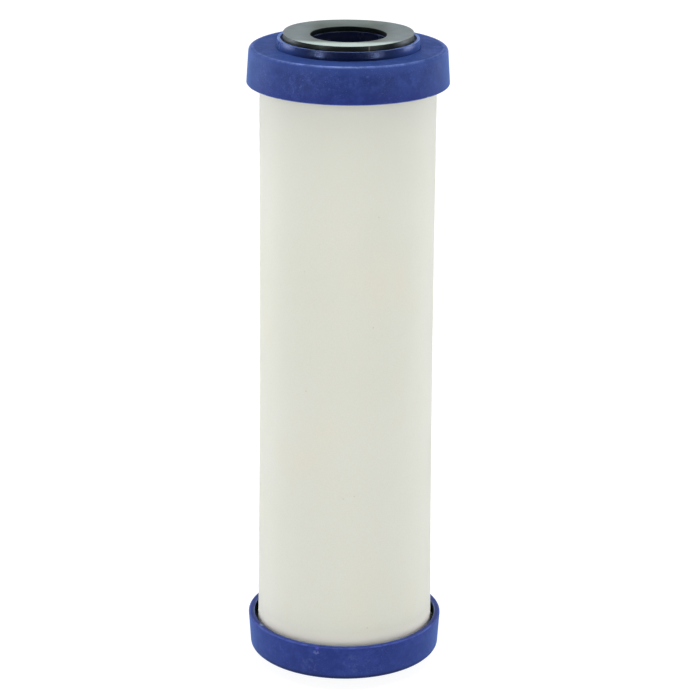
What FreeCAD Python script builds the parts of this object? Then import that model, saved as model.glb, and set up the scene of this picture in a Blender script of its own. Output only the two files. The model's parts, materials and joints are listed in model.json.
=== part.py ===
import FreeCAD, Part
import math
import os

# Drop-in water filter cartridge, open at both ends: a porous ceramic tube between two
# moulded end caps, with a carbon block and a perforated core inside it.
# Millimetres. The cartridge stands on its lower washer: origin at the middle of that
# washer's underside, +Z along the cartridge.

V = FreeCAD.Vector
AXIS = V(0, 0, 1)
ORIGIN = V(0, 0, 0)

# Driving sizes
LENGTH = 248.0            # over both washers
BORE_R = 13.75            # port through both ends
RIM_R = 37.5              # cap skirt, outside, at its open rim

# End cap. Its heights are measured outwards from the cap's flat outer face.
SKIRT_DEPTH = 13.6        # outer face to open rim
SKIRT_WALL = 2.0
SKIRT_TAPER = 0.9         # how much smaller the skirt is at the face than at the rim
WEB = 2.2                 # plate thickness
FACE_EDGE_R = 1.6         # rounding between face and skirt
COLLAR_R = 26.3           # at its foot; its outside leans inwards towards the rim
COLLAR_RIM_R = 26.1
COLLAR_WALL = 1.2
COLLAR_HEIGHT = 3.2
COLLAR_EDGE_R = 0.15      # rounding on the collar's rim
COLLAR_FOOT_R = 0.5       # fillet where the collar meets the face
SEAT_HEIGHT = 2.5         # washer seat above the face
LIP_EDGE_R = 0.3          # small rounding on moulded edges
SOCKET_R = 16.45          # takes the core tube's end
SOCKET_RING_R = 18.0
SOCKET_DEPTH = 6.0
SPIGOT_R = 25.3           # ring that centres the ceramic tube
SPIGOT_WALL = 1.2
SPIGOT_DEPTH = 8.0
RIBS = 6                  # locating ribs inside the skirt
RIB_INNER_R = 34.15
RIB_WIDTH = 1.2
RIB_DEPTH = 9.5

# Washer
GASKET_THICK = 2.6
GASKET_R = 23.9
GASKET_BORE_R = 14.05
GASKET_EDGE_R = 0.35

# Ceramic tube: straight over its upper half, slowly wider towards its lower end
SHELL_BORE_R = 25.5
SHELL_R = 32.7
SHELL_FOOT_R = 33.9
SHELL_STRAIGHT_FROM = 165.0
SHELL_END_DEPTH = 4.0     # end face, inwards from the cap's outer face
SHELL_EDGE = 0.6

# Core tube and what is wound round it
CORE_BORE_R = 14.2
CORE_R = 16.3
CORE_END_PLAY = 0.1
WINDOWS_ROUND = 8
WINDOW_ROWS = 17
WINDOW_WIDTH = 3.6
WINDOW_HEIGHT = 7.0
WINDOW_PITCH = 12.0
SLEEVE_BORE_R = 16.4
SLEEVE_R = 16.9
SLEEVE_GAP = 0.2
BLOCK_BORE_R = 17.0
BLOCK_R = 23.2
BLOCK_END_DEPTH = 6.5
BLOCK_EDGE = 0.5
FLEECE_BORE_R = 23.3
FLEECE_R = 24.0
FLEECE_END_DEPTH = 4.2
NET_BORE_R = 24.2
NET_R = 25.2
NET_STRAND = 1.0
NET_STRANDS_ROUND = 24
NET_RINGS = 19
NET_END_GAP = 0.2

# Adhesive
BEAD_DEPTH = 9.8          # adhesive fills the skirt up to here, inwards from the face
BEAD_SAG = 0.6            # and creeps this much further along the ceramic

GASKET_STAND = SEAT_HEIGHT + GASKET_THICK
TOP_FACE = LENGTH - GASKET_STAND
BOTTOM_FACE = GASKET_STAND
MIDDLE = LENGTH / 2


def corner_arc(before, corner, after, radius):
    """Tangent arc that rounds one corner; returns its start, middle and end."""
    back = (before - corner).normalize()
    ahead = (after - corner).normalize()
    half = back.getAngle(ahead) / 2
    reach = radius / math.tan(half)
    to_centre = (back + ahead).normalize()
    middle = corner + to_centre * (radius / math.sin(half) - radius)
    return corner + back * reach, middle, corner + ahead * reach


def turned(corners):
    """Solid of revolution from (radius, height, rounding) corners of its section."""
    points = [V(r, 0, z) for r, z, rounding in corners]
    edges = []
    ends = []
    for i, (r, z, rounding) in enumerate(corners):
        corner = points[i]
        if rounding == 0:
            ends.append((corner, corner))
            continue
        after = points[(i + 1) % len(points)]
        start, middle, end = corner_arc(points[i - 1], corner, after, rounding)
        edges.append(Part.Arc(start, middle, end).toShape())
        ends.append((start, end))
    for i, (start, end) in enumerate(ends):
        next_start = ends[(i + 1) % len(ends)][0]
        edges.append(Part.LineSegment(end, next_start).toShape())
    wire = Part.Wire(Part.__sortEdges__(edges))
    return Part.Face(wire).revolve(ORIGIN, AXIS, 360)


def tube(inner_r, outer_r, low, high, edge=0.0):
    """Plain tube with small equal roundings on its four edges."""
    return turned([(inner_r, low, edge), (outer_r, low, edge),
                   (outer_r, high, edge), (inner_r, high, edge)])


def around(shape, count, start=0.0):
    """Copies of a shape, evenly spaced round the cartridge axis."""
    copies = []
    for i in range(count):
        copy = shape.copy()
        copy.rotate(ORIGIN, AXIS, start + 360 * i / count)
        copies.append(copy)
    return copies


def at_top(shape):
    """Place a piece made in the cap's own frame at the upper end."""
    placed = shape.copy()
    placed.translate(V(0, 0, TOP_FACE))
    return placed


def at_bottom(shape):
    """Turn a piece made in the cap's own frame over and place it at the lower end."""
    placed = shape.copy()
    placed.rotate(ORIGIN, V(1, 0, 0), 180)
    placed.translate(V(0, 0, BOTTOM_FACE))
    return placed


def end_cap():
    """Cap in its own frame: flat outer face at height 0, open side downwards."""
    face_r = RIM_R - SKIRT_TAPER
    rim = -SKIRT_DEPTH
    body = turned([
        (face_r, 0, FACE_EDGE_R),
        (COLLAR_R, 0, COLLAR_FOOT_R),
        (COLLAR_RIM_R, COLLAR_HEIGHT, COLLAR_EDGE_R),
        (COLLAR_RIM_R - COLLAR_WALL, COLLAR_HEIGHT, COLLAR_EDGE_R),
        (COLLAR_RIM_R - COLLAR_WALL, SEAT_HEIGHT, 0),
        (BORE_R, SEAT_HEIGHT, 0),
        (BORE_R, -WEB, 0),
        (SOCKET_R, -WEB, 0),
        (SOCKET_R, -SOCKET_DEPTH, LIP_EDGE_R),
        (SOCKET_RING_R, -SOCKET_DEPTH, LIP_EDGE_R),
        (SOCKET_RING_R, SEAT_HEIGHT - WEB, LIP_EDGE_R),
        (SPIGOT_R - SPIGOT_WALL, SEAT_HEIGHT - WEB, LIP_EDGE_R),
        (SPIGOT_R - SPIGOT_WALL, -SPIGOT_DEPTH, LIP_EDGE_R),
        (SPIGOT_R, -SPIGOT_DEPTH, LIP_EDGE_R),
        (SPIGOT_R, -WEB, LIP_EDGE_R),
        (face_r - SKIRT_WALL, -WEB, 2 * LIP_EDGE_R),
        (RIM_R - SKIRT_WALL, rim, 2 * LIP_EDGE_R),
        (RIM_R, rim, 2 * LIP_EDGE_R),
    ])
    rib_length = RIM_R - SKIRT_WALL / 2 - RIB_INNER_R - SKIRT_TAPER
    rib = Part.makeBox(rib_length, RIB_WIDTH, RIB_DEPTH - WEB / 2,
                       V(RIB_INNER_R, -RIB_WIDTH / 2, -RIB_DEPTH))
    return body.fuse(around(rib, RIBS)).removeSplitter()


def gasket():
    """Flat washer, lying on the cap's seat."""
    return tube(GASKET_BORE_R, GASKET_R, SEAT_HEIGHT, GASKET_STAND, GASKET_EDGE_R)


def ceramic_shell():
    """Porous tube; its outside is a straight upper part and a long flare below it."""
    low = BOTTOM_FACE + SHELL_END_DEPTH
    high = TOP_FACE - SHELL_END_DEPTH
    flare_start = V(SHELL_R, 0, SHELL_STRAIGHT_FROM)
    flare_pull = V(SHELL_R, 0, (SHELL_STRAIGHT_FROM + low) / 2)
    flare_end = V(SHELL_FOOT_R, 0, low + SHELL_EDGE)
    flare = Part.BezierCurve()
    flare.setPoles([flare_start, flare_pull, flare_end])
    rest = Part.makePolygon([
        flare_end,
        V(SHELL_FOOT_R - SHELL_EDGE, 0, low),
        V(SHELL_BORE_R, 0, low),
        V(SHELL_BORE_R, 0, high),
        V(SHELL_R - SHELL_EDGE, 0, high),
        V(SHELL_R, 0, high - SHELL_EDGE),
        flare_start,
    ])
    section = Part.Wire([flare.toShape()] + rest.Edges)
    return Part.Face(section).revolve(ORIGIN, AXIS, 360)


def core_tube():
    """Centre tube with staggered rows of drain windows."""
    low = BOTTOM_FACE + WEB + CORE_END_PLAY
    high = TOP_FACE - WEB - CORE_END_PLAY
    wall = tube(CORE_BORE_R, CORE_R, low, high, LIP_EDGE_R)
    window = Part.makeBox(2 * (CORE_R - CORE_BORE_R), WINDOW_WIDTH, WINDOW_HEIGHT,
                          V(CORE_BORE_R - LIP_EDGE_R, -WINDOW_WIDTH / 2, 0))
    step = 360 / WINDOWS_ROUND
    first = MIDDLE - (WINDOW_ROWS - 1) / 2 * WINDOW_PITCH - WINDOW_HEIGHT / 2
    cutters = []
    for row in range(WINDOW_ROWS):
        for cutter in around(window, WINDOWS_ROUND, step / 2 * (row % 2)):
            cutter.translate(V(0, 0, first + row * WINDOW_PITCH))
            cutters.append(cutter)
    return wall.cut(Part.makeCompound(cutters))


def support_net():
    """Moulded net: upright strands joined by rings."""
    low = BOTTOM_FACE + SPIGOT_DEPTH + NET_END_GAP
    high = TOP_FACE - SPIGOT_DEPTH - NET_END_GAP
    middle_r = (NET_BORE_R + NET_R) / 2
    strand = Part.makeBox(NET_R - NET_BORE_R, NET_STRAND, high - low,
                          V(NET_BORE_R, -NET_STRAND / 2, low))
    keep_in = tube(NET_BORE_R, NET_R, low, high)
    strands = [s.common(keep_in) for s in around(strand, NET_STRANDS_ROUND)]
    rings = []
    for i in range(NET_RINGS):
        level = low + (high - low - NET_STRAND) * i / (NET_RINGS - 1)
        rings.append(tube(NET_BORE_R, middle_r, level, level + NET_STRAND))
    return rings[0].fuse(rings[1:] + strands).removeSplitter()


def shell_potting():
    """Adhesive round the ceramic's end, in the trough between spigot and skirt.

    It is made a little too large. What the cap and the ceramic fill is cut away later.
    """
    skirt_middle = RIM_R - SKIRT_WALL
    return turned([
        (SPIGOT_R - SPIGOT_WALL / 2, -WEB / 2, 0),
        (skirt_middle, -WEB / 2, 0),
        (skirt_middle, -BEAD_DEPTH, 0),
        (SHELL_R - 2 * SHELL_EDGE, -BEAD_DEPTH - BEAD_SAG, 0),
        (SHELL_R - 2 * SHELL_EDGE, -SHELL_END_DEPTH - SHELL_EDGE, 0),
        (SPIGOT_R - SPIGOT_WALL / 2, -SHELL_END_DEPTH - SHELL_EDGE, 0),
    ])


def block_potting():
    """Adhesive over the carbon block's end, between socket ring and spigot."""
    pocket_floor = SEAT_HEIGHT - WEB
    return turned([
        (SOCKET_RING_R - LIP_EDGE_R, pocket_floor + LIP_EDGE_R, 0),
        (SPIGOT_R - SPIGOT_WALL + LIP_EDGE_R, pocket_floor + LIP_EDGE_R, 0),
        (SPIGOT_R - SPIGOT_WALL + LIP_EDGE_R, -BLOCK_END_DEPTH, 0),
        (SOCKET_RING_R - LIP_EDGE_R, -BLOCK_END_DEPTH, 0),
    ])


def largest(shape):
    """The piece itself, without loose crumbs that a cut may leave."""
    return max(shape.Solids, key=lambda solid: solid.Volume)


top_cap = at_top(end_cap())
bottom_cap = at_bottom(end_cap())
shell = ceramic_shell()
fleece = tube(FLEECE_BORE_R, FLEECE_R, BOTTOM_FACE + FLEECE_END_DEPTH,
              TOP_FACE - FLEECE_END_DEPTH)
block = tube(BLOCK_BORE_R, BLOCK_R, BOTTOM_FACE + BLOCK_END_DEPTH,
             TOP_FACE - BLOCK_END_DEPTH, BLOCK_EDGE)
sleeve = tube(SLEEVE_BORE_R, SLEEVE_R, BOTTOM_FACE + SOCKET_DEPTH + SLEEVE_GAP,
              TOP_FACE - SOCKET_DEPTH - SLEEVE_GAP)

pieces = {
    "ceramic_shell": shell,
    "top_end_cap": top_cap,
    "bottom_end_cap": bottom_cap,
    "top_gasket": at_top(gasket()),
    "bottom_gasket": at_bottom(gasket()),
    "core_tube": core_tube(),
    "fines_sleeve": sleeve,
    "carbon_block": block,
    "fleece_wrap": fleece,
    "support_net": support_net(),
    "top_shell_potting": largest(at_top(shell_potting()).cut(top_cap).cut(shell)),
    "bottom_shell_potting": largest(at_bottom(shell_potting()).cut(bottom_cap).cut(shell)),
    "top_block_potting": largest(at_top(block_potting()).cut(top_cap).cut(fleece)),
    "bottom_block_potting": largest(at_bottom(block_potting()).cut(bottom_cap).cut(fleece)),
}

os.makedirs("parts", exist_ok=True)
for name, shape in pieces.items():
    shape.exportStep("parts/" + name + ".step")
    box = shape.BoundBox
    print(name, len(shape.Solids), "solid", shape.isValid(), round(shape.Volume), "mm3",
          "z", round(box.ZMin, 2), "to", round(box.ZMax, 2))
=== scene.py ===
import bpy
import json
import math
from mathutils import Matrix, Vector, noise


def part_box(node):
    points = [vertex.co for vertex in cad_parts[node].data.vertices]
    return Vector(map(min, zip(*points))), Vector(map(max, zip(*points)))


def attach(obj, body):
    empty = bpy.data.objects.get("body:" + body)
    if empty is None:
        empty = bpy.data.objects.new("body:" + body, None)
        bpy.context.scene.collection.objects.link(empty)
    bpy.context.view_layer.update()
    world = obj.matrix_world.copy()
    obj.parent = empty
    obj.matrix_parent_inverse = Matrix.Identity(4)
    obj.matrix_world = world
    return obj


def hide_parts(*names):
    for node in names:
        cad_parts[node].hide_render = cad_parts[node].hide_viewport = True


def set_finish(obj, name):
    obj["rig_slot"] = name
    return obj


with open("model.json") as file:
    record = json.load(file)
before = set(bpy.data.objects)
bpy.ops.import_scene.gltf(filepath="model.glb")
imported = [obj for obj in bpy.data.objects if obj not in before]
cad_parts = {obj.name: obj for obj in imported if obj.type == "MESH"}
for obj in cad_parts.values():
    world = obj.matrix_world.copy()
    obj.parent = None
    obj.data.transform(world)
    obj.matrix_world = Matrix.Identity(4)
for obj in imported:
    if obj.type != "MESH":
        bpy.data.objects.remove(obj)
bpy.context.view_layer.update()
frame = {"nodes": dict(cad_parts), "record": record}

MM = 0.001
TURN = 2 * math.pi
CARTRIDGE = "cartridge"

# Sizes in millimetres that the frame doesn't give, in the cap's own frame:
# height 0 is its flat outer face, and heights grow outwards.
SKIRT_WALL = 2.3
SKIRT_TAPER = 0.9
WEB = 2.2
FACE_EDGE_R = 1.6
COLLAR_R = 26.3
COLLAR_RIM_R = 26.1
COLLAR_WALL = 1.2
COLLAR_EDGE_R = 0.15
COLLAR_HEIGHT = 3.2
COLLAR_FOOT_R = 0.15
LIP_EDGE_R = 0.3
CAP_WOBBLE = 0.03
SOCKET_R = 16.45
SOCKET_RING_R = 18.0
SOCKET_DEPTH = 6.0
SPIGOT_R = 25.3
SPIGOT_WALL = 1.2
SPIGOT_DEPTH = 8.0
PORT_R = 13.75

# Ceramic tube
SHELL_R = 32.7
SHELL_BORE_R = 25.5
SHELL_STRAIGHT_FROM = 165.0
SHELL_EDGE = 0.6
SHELL_WOBBLE = 0.05

# Washer: a flat ring of sheet rubber; the upper one has taken a slight dish and twist
WASHER_BORE_R = 14.05
WASHER_EDGE_R = 0.22

# Adhesive
BEAD_LEVEL = 9.8
BEAD_TOP = 4.2            # where it meets the ceramic's end
BEAD_CLEAR = 0.35         # gap to the skirt's wall

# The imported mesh's flat facets make the rim this much smaller than the round shape.
FACET_LOSS = 0.04

# Steps round the axis
CAP_STEPS = 360
RING_STEPS = 288


def span(node):
    """Lowest and highest height of a CAD node, and its largest radius, in millimetres."""
    low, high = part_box(node)
    return low.z / MM, high.z / MM, high.x / MM


TOP_RIM, TOP_COLLAR, facet_r = span("top_end_cap")
RIM_R = facet_r + FACET_LOSS
TOP_FACE = TOP_COLLAR - COLLAR_HEIGHT
SKIRT_DEPTH = TOP_FACE - TOP_RIM
SEAT, LENGTH, WASHER_R = span("top_gasket")
SEAT_HEIGHT = SEAT - TOP_FACE
BOTTOM_FACE = LENGTH - TOP_FACE
SHELL_LOW, SHELL_HIGH, SHELL_FOOT_R = span("ceramic_shell")
MIDDLE = LENGTH / 2


# Small nicks on the cap rims: direction and half width in degrees, depth in millimetres
LOWER_NICKS = [(-15, 1.0, 0.22), (24, 0.8, 0.12), (-62, 1.5, 0.15), (71, 1.2, 0.12),
               (150, 1.0, 0.15), (205, 1.6, 0.12)]
UPPER_NICKS = [(-40, 1.0, 0.08), (52, 1.2, 0.10), (118, 1.0, 0.12), (232, 1.4, 0.12)]

# The upper washer is dished and twisted: direction, half width in degrees, drop in millimetres
UPPER_DISH = 0.70
UPPER_TWIST = [(-35, 45, 0.20), (15, 30, 0.10), (180, 24, 0.08)]

# It is slightly out of round, too: direction, half width in degrees, swell in millimetres
UPPER_BULGES = [(124, 26, 0.75), (-124, 26, 0.70), (180, 22, -0.15)]

# Marks: place, reach, and how much longer than wide; in millimetres
WORN_PATCH = ((-17.0, -33.0, 235.5), 13.0, 0.7)
DULL_PATCH = ((31.0, -19.0, 233.5), 12.0, 1.4)
SCRATCHES = ((-9.9, -36.0, 16.2), 1.7, 0.7)
DENT = ((-9.6, -36.3, 18.2), 1.1, 0.8)
# The next entry is a painted glint on the lower rim's inner edge.
RIM_GLINT = ((-31.1, -16.5, 18.8), 1.6, 1.0)
RIGHT_GRAZE = ((5.5, -36.8, 12.5), 8.0, 0.7)
LEFT_GRAZE = ((-12.5, -34.8, 10.5), 5.0, 1.0)
WASHER_NICK = ((7.9, -22.6, SEAT + 1.3), 0.42, 5.0)

# Camera: place in metres, then angles in degrees, focal length in millimetres, sideways shift
CAMERA_PLACE = (0.0182, -0.9678, 0.4504)
CAMERA_PITCH = 18.546
CAMERA_TURN = -0.485
CAMERA_ROLL = 0.611
CAMERA_LENS = 138.25
CAMERA_SHIFT = -0.0322

# Light: directions in degrees, places and sizes in metres, power in watts
SIDES = ((-1, "left", 1.05), (1, "right", 0.97))
LAMP_DISTANCE = 1.2
KEY_DIRECTION = 46
KEY_HEIGHT = 0.45
KEY_SIZE = (0.08, 0.9)
KEY_POWER = 4.1
RIM_DIRECTION = 112
RIM_HEIGHT = 0.40
RIM_SIZE = (0.5, 1.1)
RIM_POWER = 6.6
RIM_LIGHT = (0.85, 0.89, 1.0)
TOP_POWER = 16
BACK_POWER = 17
ROOM_LIGHT = 0.05
FLOOR_GLOW = 0.93
FLOOR_REACH = 30.0
WALL_REACH = 8.0


# ---------------------------------------------------------------- mesh helpers

def rounded_loop(corners, steps=5):
    """Closed outline from (radius, height, rounding) corners, with tangent arcs."""
    loop = []
    for i, (r, z, rounding) in enumerate(corners):
        corner = Vector((r, z))
        if rounding == 0:
            loop.append((r, z))
            continue
        before = Vector(corners[i - 1][:2])
        after = Vector(corners[(i + 1) % len(corners)][:2])
        back = (before - corner).normalized()
        ahead = (after - corner).normalized()
        half = back.angle(ahead) / 2
        reach = rounding / math.tan(half)
        centre = corner + (back + ahead).normalized() * (rounding / math.sin(half))
        start = corner + back * reach - centre
        end = corner + ahead * reach - centre
        sweep = start.angle_signed(end)
        for k in range(steps + 1):
            turn = Matrix.Rotation(-sweep * k / steps, 2)
            point = centre + turn @ start
            loop.append((point.x, point.y))
    return loop


def finer(loop, longest):
    """The same closed outline with its long stretches divided."""
    dense = []
    for i, (r, z) in enumerate(loop):
        r2, z2 = loop[(i + 1) % len(loop)]
        parts = max(1, math.ceil(math.hypot(r2 - r, z2 - z) / longest))
        for k in range(parts):
            dense.append((r + (r2 - r) * k / parts, z + (z2 - z) * k / parts))
    return dense


def lathe(name, loop, steps, shift):
    """Closed ring swept round the cartridge axis; shift moves each point, in millimetres."""
    points = []
    for a in range(steps):
        angle = TURN * a / steps
        for r, z in loop:
            dr, dz = shift(r, angle, z)
            points.append(((r + dr) * math.sin(angle) * MM,
                           -(r + dr) * math.cos(angle) * MM,
                           (z + dz) * MM))
    n = len(loop)
    faces = []
    for a in range(steps):
        b = (a + 1) % steps
        for i in range(n):
            j = (i + 1) % n
            faces.append((a * n + i, b * n + i, b * n + j, a * n + j))
    return from_data(name, points, faces)


def from_data(name, points, faces):
    mesh = bpy.data.meshes.new(name)
    mesh.from_pydata(points, [], faces)
    mesh.validate()
    piece = bpy.data.objects.new(name, mesh)
    bpy.context.scene.collection.objects.link(piece)
    outward(mesh)
    for face in mesh.polygons:
        face.use_smooth = True
    return piece


def outward(mesh):
    """Turn all faces outwards if the closed mesh is inside out."""
    volume = 0.0
    for face in mesh.polygons:
        a, b, c = [mesh.vertices[face.vertices[k]].co for k in (0, 1, 2)]
        volume += a.dot(b.cross(c))
    if volume < 0:
        mesh.flip_normals()


def weighted_normals(piece):
    modifier = piece.modifiers.new("weighted_normals", "WEIGHTED_NORMAL")
    modifier.keep_sharp = True


def flipped(loop):
    """An outline of the cap's frame, placed at the lower end."""
    return [(r, BOTTOM_FACE - z) for r, z in loop]


def lifted(loop):
    """An outline of the cap's frame, placed at the upper end."""
    return [(r, TOP_FACE + z) for r, z in loop]


def bump_at(angle, centre_deg, half_width_deg):
    """Smooth hump of height 1 at one direction; 0 degrees faces the front."""
    apart = (math.degrees(angle) - centre_deg + 180) % 360 - 180
    return math.exp(-(apart / half_width_deg) ** 2)


def humps(angle, rows):
    """Sum of humps, each given by direction, half width and height."""
    return sum(height * bump_at(angle, where, width) for where, width, height in rows)


# ---------------------------------------------------------------- materials

class Look:
    """A Principled material and the helpers that build its node tree."""

    def __init__(self, name, color, roughness, **sockets):
        self.material = bpy.data.materials.new(name)
        self.material.use_nodes = True
        self.tree = self.material.node_tree
        self.shader = self.tree.nodes["Principled BSDF"]
        self.shader.inputs["Base Color"].default_value = (*color, 1)
        self.shader.inputs["Roughness"].default_value = roughness
        for socket, value in sockets.items():
            self.shader.inputs[socket.replace("_", " ")].default_value = value
        self.place = self.add("ShaderNodeTexCoord").outputs["Object"]
        self.normal = None

    def add(self, kind, **settings):
        node = self.tree.nodes.new(kind)
        for key, value in settings.items():
            setattr(node, key, value)
        return node

    def link(self, source, target):
        self.tree.links.new(source, target)

    def stretched(self, x, y, z):
        """Object coordinates, scaled per axis."""
        node = self.add("ShaderNodeVectorMath", operation="MULTIPLY")
        self.link(self.place, node.inputs[0])
        node.inputs[1].default_value = (x, y, z)
        return node.outputs[0]

    def noise(self, scale, detail=3.0, rough=0.55, where=None):
        node = self.add("ShaderNodeTexNoise")
        node.inputs["Scale"].default_value = scale
        node.inputs["Detail"].default_value = detail
        node.inputs["Roughness"].default_value = rough
        self.link(where or self.place, node.inputs["Vector"])
        return node.outputs["Fac"]

    def cells(self, scale):
        node = self.add("ShaderNodeTexVoronoi", feature="F1")
        node.inputs["Scale"].default_value = scale
        self.link(self.place, node.inputs["Vector"])
        return node.outputs["Distance"]

    def band(self, value, low, high, to_low=0.0, to_high=1.0):
        """Value mapped from low..high to to_low..to_high, smoothly and clamped."""
        node = self.add("ShaderNodeMapRange", interpolation_type="SMOOTHSTEP")
        self.link(value, node.inputs["Value"])
        node.inputs["From Min"].default_value = low
        node.inputs["From Max"].default_value = high
        node.inputs["To Min"].default_value = to_low
        node.inputs["To Max"].default_value = to_high
        return node.outputs["Result"]

    def math(self, operation, a, b):
        node = self.add("ShaderNodeMath", operation=operation)
        for socket, value in zip(node.inputs, (a, b)):
            if isinstance(value, (int, float)):
                socket.default_value = value
            else:
                self.link(value, socket)
        return node.outputs[0]

    def absolute(self, value):
        return self.math("ABSOLUTE", value, 0)

    def product(self, first, *factors):
        for factor in factors:
            first = self.math("MULTIPLY", first, factor)
        return first

    def without(self, mask):
        """1 where the mask is 0, and 0 where it is 1."""
        return self.math("SUBTRACT", 1.0, mask)

    def blend(self, amount, first, second):
        """Colour between first and second; either is a colour or a socket."""
        node = self.add("ShaderNodeMix", data_type="RGBA")
        self.link(amount, node.inputs["Factor"])
        for socket, value in ((node.inputs[6], first), (node.inputs[7], second)):
            if isinstance(value, tuple):
                socket.default_value = (*value, 1)
            else:
                self.link(value, socket)
        return node.outputs[2]

    def bump(self, height, depth_mm, strength=1.0):
        """Relief of the given depth, added on top of what is there."""
        node = self.add("ShaderNodeBump")
        node.inputs["Strength"].default_value = strength
        node.inputs["Distance"].default_value = depth_mm * MM
        self.link(height, node.inputs["Height"])
        if self.normal:
            self.link(self.normal, node.inputs["Normal"])
        self.normal = node.outputs["Normal"]
        self.feed(self.normal, "Normal")

    def radius(self):
        """Distance from the cartridge axis, in millimetres."""
        flat = self.stretched(1 / MM, 1 / MM, 0)
        node = self.add("ShaderNodeVectorMath", operation="LENGTH")
        self.link(flat, node.inputs[0])
        return node.outputs["Value"]

    def axis(self, name):
        """One object coordinate, in millimetres."""
        split = self.add("ShaderNodeSeparateXYZ")
        self.link(self.stretched(1 / MM, 1 / MM, 1 / MM), split.inputs[0])
        return split.outputs[name]

    def near(self, mark):
        """1 on a mark, given by place, reach and stretch along Z; 0 beyond its reach."""
        (x, y, z), reach, stretch = mark
        node = self.add("ShaderNodeVectorMath", operation="DISTANCE")
        self.link(self.stretched(1 / MM, 1 / MM, 1 / MM / stretch), node.inputs[0])
        node.inputs[1].default_value = (x, y, z / stretch)
        return self.band(node.outputs["Value"], reach * 0.4, reach, 1, 0)

    def level(self):
        """1 on level faces, 0 on upright walls."""
        split = self.add("ShaderNodeSeparateXYZ")
        self.link(self.add("ShaderNodeTexCoord").outputs["Normal"], split.inputs[0])
        return self.absolute(split.outputs["Z"])

    def mixed(self, amount, first, second):
        """Number between first and second; either is a number or a socket."""
        node = self.add("ShaderNodeMix", data_type="FLOAT")
        self.link(amount, node.inputs["Factor"])
        for socket, value in ((node.inputs[2], first), (node.inputs[3], second)):
            if isinstance(value, (int, float)):
                socket.default_value = value
            else:
                self.link(value, socket)
        return node.outputs[0]

    def edge(self, low, high):
        """1 on outer edges, 0 on flat faces."""
        geometry = self.add("ShaderNodeNewGeometry")
        return self.band(geometry.outputs["Pointiness"], low, high)

    def feed(self, socket, name):
        self.link(socket, self.shader.inputs[name])

    def color(self, socket):
        self.feed(socket, "Base Color")

    def roughness(self, socket):
        self.feed(socket, "Roughness")


def ceramic_look():
    """Matt cream-white ceramic with faint warm clouds, a fine grain and a few pits; painted
    shade darkens it below the upper cap and painted light lifts it near its foot.
    """
    look = Look("unglazed_ceramic", (0.72, 0.72, 0.63), 0.7, Specular_IOR_Level=0.35,
                Sheen_Weight=0.12, Sheen_Roughness=0.5)
    cloud = look.band(look.noise(14, 3), 0.35, 0.7)
    color = look.blend(cloud, (0.735, 0.738, 0.655), (0.715, 0.722, 0.625))
    warm = look.band(look.noise(34, 4, where=look.stretched(1, 1, 0.6)), 0.52, 0.72, 0, 0.5)
    color = look.blend(warm, color, (0.745, 0.715, 0.590))
    grain = look.noise(1900, 2)
    color = look.blend(look.band(grain, 0.3, 0.75, 0, 0.16), color, (0.58, 0.58, 0.50))
    pit = look.band(look.cells(110), 0.015, 0.045, 1, 0)
    color = look.blend(look.product(pit, 0.35), color, (0.40, 0.38, 0.31))
    height = look.axis("Z")
    # Painted shade: the tube darker towards its upper end, below the top cap.
    painted_shade_below_cap = look.band(height, 175.0, 230.0, 0, 0.6)
    color = look.blend(painted_shade_below_cap, color, (0.660, 0.664, 0.585))
    # Painted light: the tube paler just above the lower cap's rim, lifting the shade there.
    foot = look.band(height, 18.8, 24.0, 0.85, 0)
    look.color(look.blend(foot, color, (0.93, 0.89, 0.79)))
    look.roughness(look.band(look.noise(60, 4), 0.3, 0.7, 0.62, 0.8))
    look.bump(grain, 0.035, 0.6)
    look.bump(look.noise(420, 3), 0.03, 0.5)
    look.bump(look.product(pit, -1.0), 0.12, 0.7)
    return look.material


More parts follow.
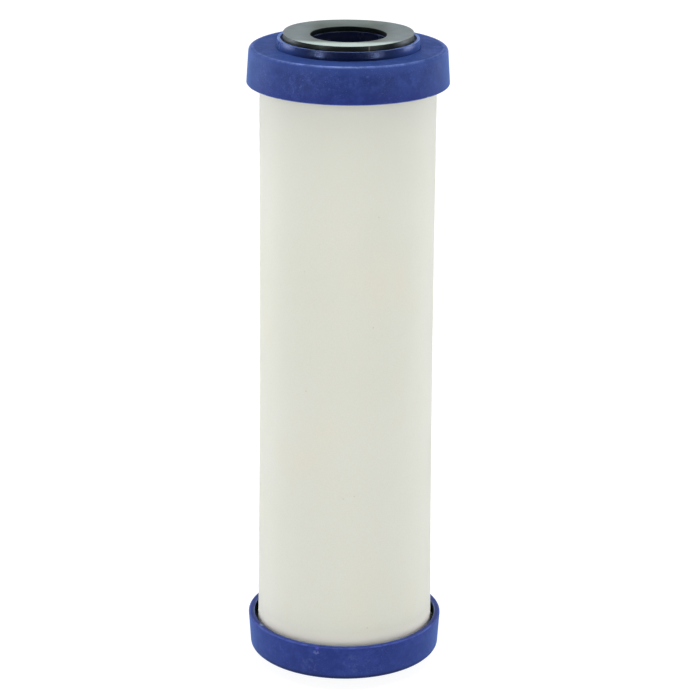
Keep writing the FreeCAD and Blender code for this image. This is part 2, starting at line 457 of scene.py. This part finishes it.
class CapLook(Look):
    """Moulded blue plastic: matt and scuffed outside the collar, polished on and inside it."""

    def __init__(self):
        super().__init__("moulded_blue_plastic", (0.02, 0.04, 0.17), 0.5,
                         Sheen_Roughness=0.42, Sheen_Tint=(0.24, 0.44, 1.0, 1))
        self.from_axis = self.radius()
        self.height = self.axis("Z")
        self.from_middle = self.absolute(self.math("SUBTRACT", self.height, MIDDLE))
        self.aside = self.absolute(self.axis("X"))
        self.upper = self.band(self.height, MIDDLE - 1, MIDDLE + 1)
        self.flat = self.band(self.level(), 0.7, 0.95)
        self.beyond = self.band(self.from_axis, COLLAR_R - 0.05, COLLAR_R + 0.15)
        self.textured = self.math("MAXIMUM", self.beyond, self.flat)
        self.outer = self.product(
            self.band(self.from_axis, COLLAR_RIM_R - 1.0, COLLAR_RIM_R - 0.6),
            self.without(self.textured))
        self.cloud = self.band(self.noise(70, 4), 0.35, 0.7)
        self.scuff = self.band(self.noise(700, 6, 0.75), 0.53, 0.72, 0, 0.34)
        self.trough = self.in_trough()

        color = self.weathered()
        color = self.shaded(color)
        color = self.rimmed(color)
        color = self.blend(self.trough, color, self.trough_shade())
        color = self.marked(color)
        self.color(self.blend(self.beyond, self.polished(), color))
        self.shine()
        self.bump(self.noise(700, 3), 0.03, 0.4)
        self.bump(self.noise(60, 2), 0.12, 0.3)
        self.bump(self.scuff, 0.03, 0.4)

    def between(self, low, high, fade_in, fade_out):
        """1 between two distances from the axis, fading outside them."""
        return self.product(self.band(self.from_axis, low - fade_in, low),
                            self.band(self.from_axis, high, high + fade_out, 1, 0))

    def in_trough(self):
        """The skirt's inner wall and what lies behind it."""
        wall = RIM_R - SKIRT_WALL
        face = TOP_FACE - MIDDLE
        rim = TOP_RIM - MIDDLE
        return self.product(
            self.band(self.from_axis, wall + 0.02, wall + 0.2, 1, 0),
            self.band(self.from_middle, rim + 0.15, rim + 0.5),
            self.without(self.band(self.from_middle, face - 0.6, face - 0.3)))

    def weathered(self):
        """The blue itself, with mottling, stains, scuffs and rubbed specks."""
        color = self.blend(self.cloud, (0.0138, 0.0308, 0.159), (0.0212, 0.0448, 0.212))
        mottle = self.band(self.noise(260, 4, 0.7), 0.44, 0.66, 0, 0.42)
        color = self.blend(mottle, color, (0.040, 0.072, 0.30))
        stretched = self.stretched(1, 1, 1.6)
        stain = self.band(self.noise(390, 4, 0.7, where=stretched), 0.50, 0.72, 0, 0.35)
        color = self.blend(stain, color, (0.009, 0.018, 0.105))
        color = self.blend(self.scuff, color, (0.070, 0.115, 0.38))
        worn = self.near(WORN_PATCH)
        color = self.blend(self.product(worn, 0.45), color, (0.038, 0.066, 0.28))
        stipple = self.band(self.noise(1300, 5, 0.8), 0.52, 0.62, 0, 0.45)
        color = self.blend(self.product(worn, stipple), color, (0.080, 0.130, 0.37))
        smear = self.band(self.noise(480, 5, 0.8), 0.46, 0.55, 0.50, 0)
        color = self.blend(self.product(worn, smear), color, (0.011, 0.024, 0.125))
        speck = self.product(self.band(self.noise(1900, 3, 0.6), 0.57, 0.72, 0, 0.30),
                             self.band(self.noise(110, 3), 0.42, 0.60))
        return self.blend(speck, color, (0.19, 0.26, 0.58))

    def shaded(self, color):
        """Slow changes down the skirts, painted light on the skirt just below the face's brim,
        and a painted highlight along the face's worn brim.
        """
        lower_cap = self.band(self.height, 20.0, 25.0, 0.35, 0)
        color = self.blend(lower_cap, color, (0.021, 0.036, 0.265))
        skirt_end = self.product(self.band(self.height, TOP_RIM + 0.5, TOP_RIM + 6.5, 0.5, 0),
                                 self.upper)
        color = self.blend(skirt_end, color, (0.014, 0.025, 0.185))
        face = TOP_FACE - MIDDLE
        # Painted light: the upper skirt lighter just below the brim's rounding.
        painted_light_below_brim = self.product(self.band(self.from_middle, face - 4.2, face - 1.0),
                            self.product(self.upper, 0.5), self.without(self.flat))
        color = self.blend(painted_light_below_brim, color, (0.036, 0.068, 0.27))
        # Painted highlight: a broken light line along the face's brim, strongest at the front
        # and fading to the sides.
        brim = RIM_R - SKIRT_TAPER - FACE_EDGE_R
        line = self.product(self.between(brim + 0.1, brim + 0.4, 0.8, 1.0),
                            self.band(self.noise(260, 5, 0.75), 0.36, 0.64, 0.35, 1.0),
                            self.band(self.aside, 12.0, 30.0, 1, 0.35))
        return self.blend(line, color, (0.23, 0.32, 0.74))

    def rimmed(self, color):
        """The skirt's open rim, with painted highlights on its inner lip and along its outer
        edge, and painted shade on the underside's edge.
        """
        rim = TOP_RIM - MIDDLE
        wall = RIM_R - SKIRT_WALL
        near_rim = self.band(self.from_middle, rim + 0.5, rim + 0.9, 1, 0)
        rim_top = self.product(near_rim, self.flat, self.band(self.aside, 20.0, 32.0, 0.3, 0.85))
        color = self.blend(rim_top, color, (0.052, 0.062, 0.195))
        # Painted highlight on the inner lip of the skirt's rim.
        lip = self.product(self.between(wall + 0.05, wall + 0.25, 0.1, 0.15), near_rim,
                           self.band(self.noise(190, 4), 0.45, 0.62, 0, 0.6))
        color = self.blend(lip, color, (0.20, 0.24, 0.32))
        # Painted highlight along the rim's outer edge.
        rim_edge_highlight = self.product(self.band(self.from_axis, RIM_R - 1.0, RIM_R - 0.6),
                                self.band(self.noise(210, 4), 0.38, 0.66, 0.35, 1.0),
                                self.band(self.from_middle, rim + 0.05, rim + 0.6, 1, 0))
        color = self.blend(rim_edge_highlight, color, (0.085, 0.120, 0.47))
        # Painted shade on the lower cap's bottom edge, which faces the floor.
        underside_shade = self.band(self.height, BOTTOM_FACE + 0.9, BOTTOM_FACE + 2.4, 0.85, 0)
        return self.blend(underside_shade, color, (0.006, 0.010, 0.055))

    def trough_shade(self):
        """Painted shade on the skirt's inner wall, the dark between skirt and ceramic."""
        return self.blend(self.band(self.noise(230, 3), 0.4, 0.62),
                          (0.004, 0.007, 0.010), (0.030, 0.048, 0.044))

    def marked(self, color):
        """Painted shade as a dark line round the collar's foot, single marks, and a painted
        glint on the lower rim.
        """
        # Painted shade: a dark line in the crease round the collar's foot.
        foot = self.product(self.band(self.from_axis, COLLAR_R + 0.1, COLLAR_R + 0.5, 0.9, 0),
                            self.beyond)
        color = self.blend(foot, color, (0.004, 0.008, 0.034))
        dull = self.product(self.near(DULL_PATCH),
                            self.band(self.noise(150, 3), 0.36, 0.58, 0.1, 0.42))
        color = self.blend(dull, color, (0.012, 0.026, 0.145))
        scratch = self.product(self.near(SCRATCHES),
                               self.band(self.noise(1100, 3), 0.44, 0.56, 0, 0.85))
        color = self.blend(scratch, color, (0.095, 0.130, 0.35))
        color = self.blend(self.product(self.near(DENT), 0.8), color, (0.085, 0.085, 0.52))
        grazed = self.math("MAXIMUM", self.near(RIGHT_GRAZE), self.near(LEFT_GRAZE))
        graze = self.product(grazed, self.band(self.noise(560, 5, 0.8), 0.50, 0.60, 0, 0.42))
        color = self.blend(graze, color, (0.070, 0.098, 0.26))
        # Painted glint on the lower rim's inner edge.
        return self.blend(self.product(self.near(RIM_GLINT), 0.9), color, (0.24, 0.31, 0.46))

    def polished(self):
        """The collar, its rim, the seat and the bore, which have no scuffs; painted light makes
        collar and rim lighter towards the sides, and the collar's level rim is a painted
        highlight.
        """
        # Painted light: collar and rim lighter towards the sides, where the side lamps reflect.
        painted_light_at_sides = self.band(self.aside, 10.0, 27.0)
        inside = self.blend(self.cloud, (0.0035, 0.0065, 0.028), (0.005, 0.009, 0.036))
        collar = self.blend(self.cloud, (0.0025, 0.006, 0.034), (0.004, 0.009, 0.046))
        collar = self.blend(painted_light_at_sides, collar, (0.030, 0.060, 0.24))
        # Painted highlight: the collar's level rim a lighter grey-blue than its dark wall.
        rim = self.blend(self.cloud, (0.037, 0.042, 0.105), (0.049, 0.055, 0.135))
        rim = self.blend(painted_light_at_sides, rim, (0.12, 0.19, 0.50))
        bore_side = COLLAR_RIM_R - COLLAR_WALL
        on_rim = self.product(self.flat, self.band(self.from_axis, bore_side - 0.1, bore_side))
        return self.blend(on_rim, self.blend(self.outer, inside, collar), rim)

    def shine(self):
        """Roughness, gloss and sheen; the collar is glossy, and the trough has neither."""
        open_air = self.without(self.trough)
        matt = self.math("ADD", self.band(self.noise(120, 5), 0.3, 0.7, 0.50, 0.62),
                         self.product(self.scuff, 0.3))
        smooth = self.band(self.noise(200, 4), 0.3, 0.7, 0.20, 0.28)
        self.roughness(self.mixed(self.textured, smooth, matt))

        face = self.product(self.beyond, self.flat)
        foot = self.between(COLLAR_R - 0.01, COLLAR_R + 0.3, 0.07, 0.2)
        gloss = self.math("ADD", self.band(self.textured, 0, 1, 0.22, 0.16),
                          self.product(self.outer, 0.80))
        gloss = self.math("SUBTRACT", gloss, self.product(face, 0.145))
        self.feed(self.product(gloss, self.without(foot), open_air), "Specular IOR Level")
        self.feed(self.blend(self.outer, (1.0, 1.0, 1.0), (0.38, 0.50, 1.0)), "Specular Tint")

        sheen = self.math("SUBTRACT", self.band(self.textured, 0, 1, 0.10, 0.64),
                          self.product(face, 0.35))
        sheen = self.math("ADD", sheen, self.product(self.outer, 0.30))
        self.feed(self.product(sheen, open_air), "Sheen Weight")
        turned = self.add("ShaderNodeTangent", direction_type="RADIAL", axis="Z")
        self.feed(turned.outputs[0], "Tangent")
        self.feed(self.band(self.textured, 0, 1, 0.7, 0.0), "Anisotropic")


def rubber_look():
    """Sheet rubber: a dull film of dust on its faces, with painted sheen towards the front edge
    and the sides; darker where it is cut, with painted sheen on the cut edge's sides and painted
    shade in the bore.
    """
    look = Look("sheet_rubber", (0.014, 0.016, 0.014), 0.4, Specular_IOR_Level=0.55,
                Specular_Tint=(0.86, 0.98, 0.97, 1))
    face = look.band(look.level(), 0.6, 0.9)
    aside = look.absolute(look.axis("X"))
    dust = look.band(look.noise(45, 5, 0.65), 0.3, 0.8)
    bloom_and_painted_sheen = look.blend(dust, (0.067, 0.085, 0.079), (0.090, 0.110, 0.103))
    # Painted sheen: the faces lighter towards the sides.
    bloom_and_painted_sheen = look.blend(look.band(aside, 10.0, 19.0), bloom_and_painted_sheen, (0.155, 0.190, 0.200))
    depth = look.axis("Y")
    # Painted sheen: the faces much paler towards the front edge, a little towards the back.
    painted_sheen = look.math("ADD", look.band(depth, -18.5, -12.0, 0.8, 0),
                       look.band(depth, 12.0, 22.0, 0, 0.14))
    bloom_and_painted_sheen = look.blend(painted_sheen, bloom_and_painted_sheen, (0.59, 0.735, 0.68))
    speck = look.band(look.noise(2200, 2), 0.66, 0.76, 0, 0.3)
    bloom_and_painted_sheen = look.blend(speck, bloom_and_painted_sheen, (0.10, 0.12, 0.11))

    cut = look.blend(dust, (0.007, 0.009, 0.007), (0.012, 0.013, 0.011))
    # Painted sheen: the cut edge lighter towards the sides, where it is seen at a grazing angle.
    painted_edge_sheen = look.band(aside, 16.0, 22.5, 0, 0.9)
    cut = look.blend(painted_edge_sheen, cut, (0.10, 0.112, 0.10))
    cut = look.blend(look.near(WASHER_NICK), cut, (0.11, 0.10, 0.08))
    # Painted shade: the cut wall inside the washer's bore darker than its outer edge.
    hole = look.band(look.radius(), WASHER_BORE_R + 0.95, WASHER_BORE_R + 1.95, 1, 0)
    cut = look.blend(hole, cut, (0.002, 0.004, 0.004))
    look.color(look.blend(face, cut, bloom_and_painted_sheen))

    smooth = look.band(look.noise(180, 5), 0.3, 0.7, 0.32, 0.44)
    look.roughness(look.math("ADD", smooth, look.product(face, 0.20)))
    cut_gloss = look.math("SUBTRACT", 0.42, look.product(hole, 0.28))
    look.feed(look.mixed(face, cut_gloss, 0.55), "Specular IOR Level")
    look.bump(look.noise(1500, 3), 0.02, 0.3)
    look.bump(look.noise(60, 2), 0.04, 0.2)
    return look.material


def adhesive_look():
    """Set adhesive, painted dark for the shade deep in the trough; uneven, with a few pale
    flecks.
    """
    look = Look("set_adhesive", (0.03, 0.035, 0.03), 0.35)
    tint = look.band(look.noise(160, 3), 0.35, 0.7)
    color = look.blend(tint, (0.022, 0.028, 0.026), (0.050, 0.056, 0.048))
    pale = look.band(look.noise(190, 2), 0.62, 0.70, 0, 0.8)
    look.color(look.blend(pale, color, (0.55, 0.56, 0.50)))
    look.roughness(look.band(look.noise(300, 3), 0.3, 0.7, 0.25, 0.5))
    look.bump(look.noise(500, 4), 0.10, 0.6)
    return look.material


def white_plastic_look():
    """The core tube's milky plastic, a little paler along its edges."""
    look = Look("natural_polypropylene", (0.72, 0.72, 0.70), 0.45)
    cloud = look.band(look.noise(80, 4), 0.35, 0.7)
    color = look.blend(cloud, (0.74, 0.74, 0.72), (0.66, 0.66, 0.63))
    edge = look.product(look.edge(0.505, 0.56), 0.3)
    look.color(look.blend(edge, color, (0.82, 0.82, 0.80)))
    look.roughness(look.band(look.noise(240, 4), 0.3, 0.7, 0.38, 0.55))
    look.bump(look.noise(900, 3), 0.02, 0.4)
    return look.material


def net_look():
    """Milky plastic net."""
    look = Look("polyethylene_net", (0.72, 0.73, 0.72), 0.4)
    cloud = look.band(look.noise(200, 3), 0.35, 0.7)
    look.color(look.blend(cloud, (0.76, 0.77, 0.76), (0.66, 0.67, 0.65)))
    look.roughness(look.band(look.noise(400, 3), 0.3, 0.7, 0.32, 0.5))
    look.bump(look.noise(1600, 2), 0.03, 0.5)
    return look.material


def carbon_look():
    """Pressed carbon: dull black and granular."""
    look = Look("pressed_carbon", (0.02, 0.02, 0.02), 0.8)
    grain = look.cells(900)
    lump = look.band(grain, 0.1, 0.6)
    look.color(look.blend(lump, (0.010, 0.010, 0.011), (0.045, 0.045, 0.046)))
    look.roughness(look.band(look.noise(800, 3), 0.3, 0.7, 0.6, 0.95))
    look.bump(grain, 0.25, 0.8)
    return look.material


def fleece_look():
    """White felted fibres that lie both ways."""
    look = Look("non_woven_fleece", (0.78, 0.78, 0.76), 0.9)
    fibres = look.noise(900, 5, 0.7, where=look.stretched(1, 1, 0.25))
    across = look.noise(900, 5, 0.7, where=look.stretched(0.3, 0.3, 1))
    mat = look.math("MAXIMUM", fibres, across)
    look.color(look.blend(look.band(mat, 0.4, 0.75), (0.66, 0.66, 0.64), (0.84, 0.84, 0.82)))
    look.roughness(look.band(mat, 0.3, 0.8, 0.8, 0.98))
    look.bump(mat, 0.15, 0.8)
    return look.material


def floor_look():
    """Pale floor and walls, lit from within like a light table, so that they show white."""
    look = Look("lit_white_floor", (0.20, 0.20, 0.20), 0.9, Specular_IOR_Level=0.1,
                Emission_Color=(1, 1, 1, 1), Emission_Strength=FLOOR_GLOW)
    look.color(look.blend(look.noise(6, 2), (0.195, 0.195, 0.195), (0.205, 0.205, 0.205)))
    return look.material


# ---------------------------------------------------------------- pieces

def cap_outline():
    """Section of the end cap, in the cap's own frame."""
    face_r = RIM_R - SKIRT_TAPER
    rim = -SKIRT_DEPTH
    pocket = SEAT_HEIGHT - WEB
    return rounded_loop([
        (face_r, 0, FACE_EDGE_R),
        (COLLAR_R, 0, COLLAR_FOOT_R),
        (COLLAR_RIM_R, COLLAR_HEIGHT, COLLAR_EDGE_R),
        (COLLAR_RIM_R - COLLAR_WALL, COLLAR_HEIGHT, COLLAR_EDGE_R),
        (COLLAR_RIM_R - COLLAR_WALL, SEAT_HEIGHT, 0.1),
        (PORT_R, SEAT_HEIGHT, LIP_EDGE_R),
        (PORT_R, -WEB, LIP_EDGE_R / 2),
        (SOCKET_R, -WEB, 0.1),
        (SOCKET_R, -SOCKET_DEPTH, LIP_EDGE_R),
        (SOCKET_RING_R, -SOCKET_DEPTH, LIP_EDGE_R),
        (SOCKET_RING_R, pocket, LIP_EDGE_R),
        (SPIGOT_R - SPIGOT_WALL, pocket, LIP_EDGE_R),
        (SPIGOT_R - SPIGOT_WALL, -SPIGOT_DEPTH, LIP_EDGE_R),
        (SPIGOT_R, -SPIGOT_DEPTH, LIP_EDGE_R),
        (SPIGOT_R, -WEB, LIP_EDGE_R),
        (face_r - SKIRT_WALL, -WEB, 2 * LIP_EDGE_R),
        (RIM_R - SKIRT_WALL, rim, LIP_EDGE_R),
        (RIM_R, rim, 2 * LIP_EDGE_R),
    ])


def cap(name, node, place, outwards, nicks, seed):
    """One moulded cap, with slightly uneven walls and small nicks along its rim."""
    rim_height = place([(0, -SKIRT_DEPTH)])[0][1]

    def shift(r, angle, z):
        wave = noise.noise(Vector((math.cos(angle), math.sin(angle), seed)) * 1.5)
        dr = CAP_WOBBLE * (wave - 1) if r > COLLAR_R + 0.2 else 0.0
        near_rim = math.exp(-((z - rim_height) / 0.7) ** 2) if r > RIM_R - 1.2 else 0.0
        dent = humps(angle, nicks) * near_rim
        return dr - dent, outwards * dent * 0.8

    loop = finer(place(cap_outline()), 1.5)
    piece = lathe(name, loop, CAP_STEPS, shift)
    weighted_normals(piece)
    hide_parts(node)
    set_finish(piece, "cap_plastic")
    return piece


def washer(name, node, low, high, dish=0.0, twist=(), bulges=()):
    """Rubber washer between two heights; dish lowers its inner edge, twist its outer one."""
    def shift(r, angle, z):
        out = (r - WASHER_BORE_R) / (WASHER_R - WASHER_BORE_R)
        top = high - dish * (1 - out) - out * humps(angle, twist)
        share = (z - low) / (high - low)
        return out * humps(angle, bulges), low + (top - low) * share - z

    loop = finer(rounded_loop([
        (WASHER_BORE_R, low, WASHER_EDGE_R), (WASHER_R, low, WASHER_EDGE_R),
        (WASHER_R, high, WASHER_EDGE_R), (WASHER_BORE_R, high, WASHER_EDGE_R),
    ]), 0.8)
    piece = lathe(name, loop, RING_STEPS, shift)
    weighted_normals(piece)
    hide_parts(node)
    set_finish(piece, "gasket_rubber")
    return piece


def ceramic_tube():
    """Porous tube: straight above, slowly wider towards its foot, faintly uneven."""
    flare = SHELL_FOOT_R - SHELL_R
    reach = SHELL_STRAIGHT_FROM - SHELL_LOW

    def outer(z):
        below = max(0.0, SHELL_STRAIGHT_FROM - z) / reach
        return SHELL_R + flare * below ** 2

    loop = finer(rounded_loop([
        (SHELL_BORE_R, SHELL_LOW, SHELL_EDGE / 2), (SHELL_R, SHELL_LOW, SHELL_EDGE),
        (SHELL_R, SHELL_HIGH, SHELL_EDGE), (SHELL_BORE_R, SHELL_HIGH, SHELL_EDGE / 2),
    ]), 2.0)

    def shift(r, angle, z):
        if r < SHELL_R - 2 * SHELL_EDGE:
            return 0.0, 0.0
        spot = Vector((math.cos(angle) * 1.2, math.sin(angle) * 1.2, z / 45))
        ripple = noise.noise(spot) * SHELL_WOBBLE
        ripple += noise.noise(spot * 4 + Vector((5, 5, 5))) * SHELL_WOBBLE / 3
        return outer(z) - SHELL_R + ripple - SHELL_WOBBLE, 0.0

    piece = lathe("ceramic_tube", loop, RING_STEPS, shift)
    weighted_normals(piece)
    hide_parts("ceramic_shell")
    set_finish(piece, "ceramic")
    return piece


def bead(name, node, place, seed, foot_r):
    """Adhesive in the trough round the ceramic, with an uneven surface."""
    skirt_r = RIM_R - SKIRT_WALL - BEAD_CLEAR
    inner_r = SPIGOT_R + 0.05
    under_ceramic_r = foot_r - 0.3
    outline = rounded_loop([
        (inner_r, -WEB - 0.1, 0),
        (skirt_r - 0.5, -WEB - 0.1, 0),
        (skirt_r, -BEAD_LEVEL, 0.3),
        (under_ceramic_r, -BEAD_LEVEL - 0.6, 0.2),
        (under_ceramic_r, -BEAD_TOP, 0),
        (inner_r, -BEAD_TOP, 0),
    ])
    level = place([(0, -BEAD_LEVEL)])[0][1]
    inwards = 1 if level > place([(0, -WEB)])[0][1] else -1

    def shift(r, angle, z):
        surface = max(0.0, 1 - abs(z - level) / 2.0)
        round_ring = Vector((math.cos(angle), math.sin(angle), seed)) * 6
        waves = 0.5 * noise.noise(round_ring) + 0.25 * noise.noise(round_ring * 4)
        return 0.0, inwards * surface * waves

    piece = lathe(name, finer(place(outline), 0.8), CAP_STEPS, shift)
    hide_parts(node)
    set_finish(piece, "adhesive")
    return piece


top_cap = cap("top_cap_moulding", "top_end_cap", lifted, 1, UPPER_NICKS, 2.5)
bottom_cap = cap("bottom_cap_moulding", "bottom_end_cap", flipped, -1, LOWER_NICKS, 7.5)
tube = ceramic_tube()
top_washer = washer("top_washer", "top_gasket", SEAT, LENGTH,
                    UPPER_DISH, UPPER_TWIST, UPPER_BULGES)
bottom_washer = washer("bottom_washer", "bottom_gasket", 0.0, LENGTH - SEAT)
top_bead = bead("top_adhesive_bead", "top_shell_potting", lifted, 3.0, SHELL_R)
bottom_bead = bead("bottom_adhesive_bead", "bottom_shell_potting", flipped, 9.0, SHELL_FOOT_R)

glued = (top_cap, bottom_cap, tube, top_bead, bottom_bead)
for piece in glued:
    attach(piece, CARTRIDGE)
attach(top_washer, "upper_washer")
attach(bottom_washer, "lower_washer")

LOOKS = {
    "ceramic": ceramic_look(),
    "cap_plastic": CapLook().material,
    "gasket_rubber": rubber_look(),
    "core_plastic": white_plastic_look(),
    "fleece": fleece_look(),
    "carbon": carbon_look(),
    "net_plastic": net_look(),
    "adhesive": adhesive_look(),
}


def paint(piece, material):
    piece.data.materials.clear()
    piece.data.materials.append(material)


for piece in glued + (top_washer, bottom_washer):
    paint(piece, LOOKS[piece["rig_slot"]])
for row in frame["record"]["subparts"]:
    paint(frame["nodes"][row["node"]], LOOKS[row["material_slot"]])


# ---------------------------------------------------------------- stage

def plane_mesh(name, corners, faces):
    mesh = bpy.data.meshes.new(name)
    mesh.from_pydata(corners, [], faces)
    piece = bpy.data.objects.new(name, mesh)
    bpy.context.scene.collection.objects.link(piece)
    paint(piece, floor_look())
    return piece


def square(reach, height):
    """Corners of a level square round the cartridge."""
    return [(x * reach, y * reach, height) for x, y in ((-1, -1), (1, -1), (1, 1), (-1, 1))]


def floor():
    piece = plane_mesh("floor", square(FLOOR_REACH, 0), [(0, 1, 2, 3)])
    piece.visible_glossy = False


def far_walls():
    """Pale walls far off that close the view above the floor. Only the camera sees them."""
    corners = square(WALL_REACH, 0) + square(WALL_REACH, WALL_REACH)
    faces = [(i, (i + 1) % 4, (i + 1) % 4 + 4, i + 4) for i in range(4)]
    piece = plane_mesh("far_walls", corners, faces)
    piece.visible_diffuse = False
    piece.visible_glossy = False
    piece.visible_transmission = False
    piece.visible_shadow = False


def softbox(name, place, target, size, watts, color=(1, 1, 1)):
    """Rectangular area light that faces its target."""
    light = bpy.data.lights.new(name, "AREA")
    light.shape = "RECTANGLE"
    light.size, light.size_y = size
    light.energy = watts
    light.color = color
    lamp = bpy.data.objects.new(name, light)
    lamp.location = place
    aim = Vector(target) - Vector(place)
    lamp.rotation_euler = aim.to_track_quat("-Z", "Y").to_euler()
    bpy.context.scene.collection.objects.link(lamp)


def compass(degrees, distance, height):
    """Place round the cartridge: 0 degrees is in front of it, 90 to its right."""
    angle = math.radians(degrees)
    return distance * math.sin(angle), -distance * math.cos(angle), height


def camera():
    """Camera in front of the cartridge, a little above it and looking down."""
    lens = bpy.data.cameras.new("camera")
    lens.lens = CAMERA_LENS
    lens.sensor_width = 36.0
    lens.shift_x = CAMERA_SHIFT
    lens.clip_end = 200
    eye = bpy.data.objects.new("camera", lens)
    bpy.context.scene.collection.objects.link(eye)
    eye.matrix_world = (Matrix.Translation(CAMERA_PLACE)
                        @ Matrix.Rotation(-math.radians(CAMERA_TURN), 4, "Z")
                        @ Matrix.Rotation(math.radians(90 - CAMERA_PITCH), 4, "X")
                        @ Matrix.Rotation(math.radians(CAMERA_ROLL), 4, "Z"))
    bpy.context.scene.camera = eye


def surroundings(strength):
    world = bpy.data.worlds.new("studio")
    world.use_nodes = True
    background = world.node_tree.nodes["Background"]
    background.inputs["Color"].default_value = (1, 1, 1, 1)
    background.inputs["Strength"].default_value = strength
    bpy.context.scene.world = world


def lamps():
    """A tall narrow lamp and a wide one behind it on each side, one above and one behind."""
    centre = (0, 0, MIDDLE * MM)
    for side, name, share in SIDES:
        softbox(name + "_key", compass(KEY_DIRECTION * side, LAMP_DISTANCE, KEY_HEIGHT),
                centre, KEY_SIZE, KEY_POWER * share)
        softbox(name + "_rim", compass(RIM_DIRECTION * side, LAMP_DISTANCE, RIM_HEIGHT),
                centre, RIM_SIZE, RIM_POWER * share, RIM_LIGHT)
    softbox("top_softbox", (0, 0, 1.5), (0, 0, 0), (1.6, 1.6), TOP_POWER)
    softbox("backdrop", (0, 2.4, 0.62), (0, 0, 0.25), (3.0, 0.85), BACK_POWER)


floor()
far_walls()
camera()
surroundings(ROOM_LIGHT)
lamps()
bpy.context.scene.view_settings.view_transform = "Standard"
